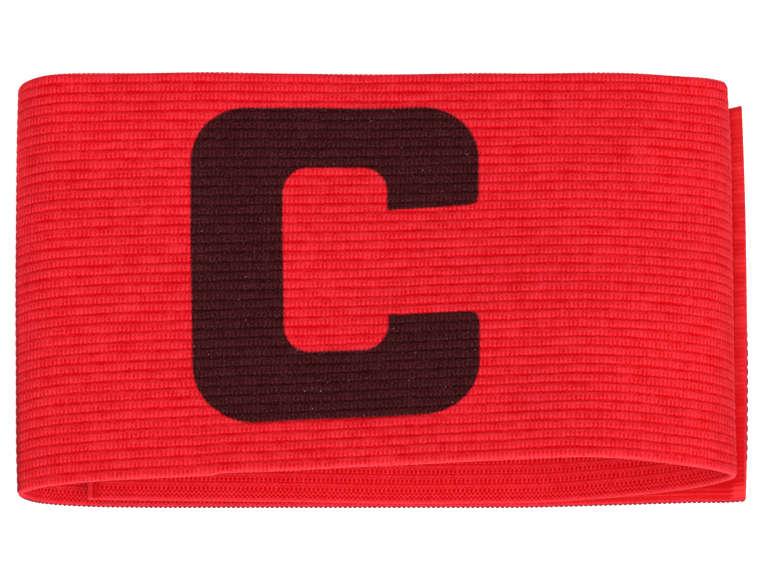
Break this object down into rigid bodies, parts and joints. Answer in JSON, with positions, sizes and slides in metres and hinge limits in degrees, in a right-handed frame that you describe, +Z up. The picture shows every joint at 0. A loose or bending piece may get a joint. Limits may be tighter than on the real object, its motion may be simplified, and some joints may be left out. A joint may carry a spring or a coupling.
{
  "type": "captain armband",
  "caption": "Wide ribbed elastic armband lying closed as an open loop on its back, its overlapping ends held by hook and loop tapes.",
  "frame": {"origin": "on the table, under the middle of the armband's bounding box as it lies on its back", "axes": "+X along the loop from its left fold to its tail, +Y across the band from the letter's foot to its head, +Z up from the table"},
  "size_m": [0.1318, 0.0752, 0.0388],
  "materials": {
    "ribbed_elastic": "matt red ribbed knit with fine upright stitches, a dark printed block letter on its front and an open knit inside",
    "hook_tape": "orange-red woven tape with fine rows of hooks, slightly glossy",
    "loop_tape": "soft matt red brushed pile"
  },
  "bodies": {
    "root": {"elastic_band": "ribbed_elastic", "hook_tape": "hook_tape", "loop_tape": "loop_tape"}
  },
  "joints": []
}
